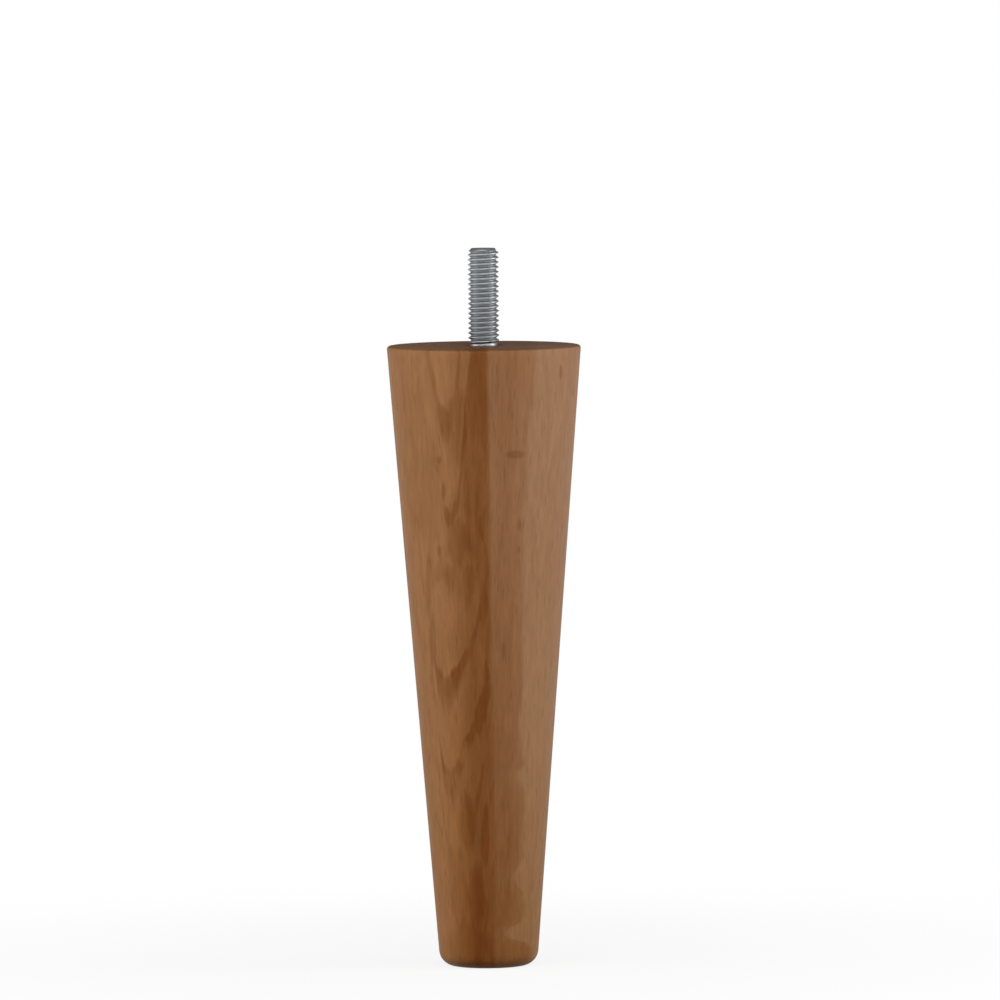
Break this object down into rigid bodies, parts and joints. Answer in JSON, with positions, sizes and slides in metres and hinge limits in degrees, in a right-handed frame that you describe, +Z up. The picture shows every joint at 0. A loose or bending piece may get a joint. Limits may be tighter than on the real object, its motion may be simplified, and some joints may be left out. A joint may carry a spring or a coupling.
{
  "type": "bed leg",
  "caption": "Round tapered wooden bed leg with a rounded foot edge and a steel hanger bolt standing out of its top for screwing into a bed base.",
  "frame": {"origin": "middle of the foot's underside, on the floor", "axes": "+Z up along the leg's own axis, from the foot to the bolt; X and Y are free, as the leg is round"},
  "size_m": [0.0498, 0.0498, 0.185],
  "materials": {
    "stained_wood": "satin",
    "zinc_plated_steel": "satin"
  },
  "bodies": {
    "root": {"tapered_leg": "stained_wood", "hanger_bolt": "zinc_plated_steel"}
  },
  "joints": []
}
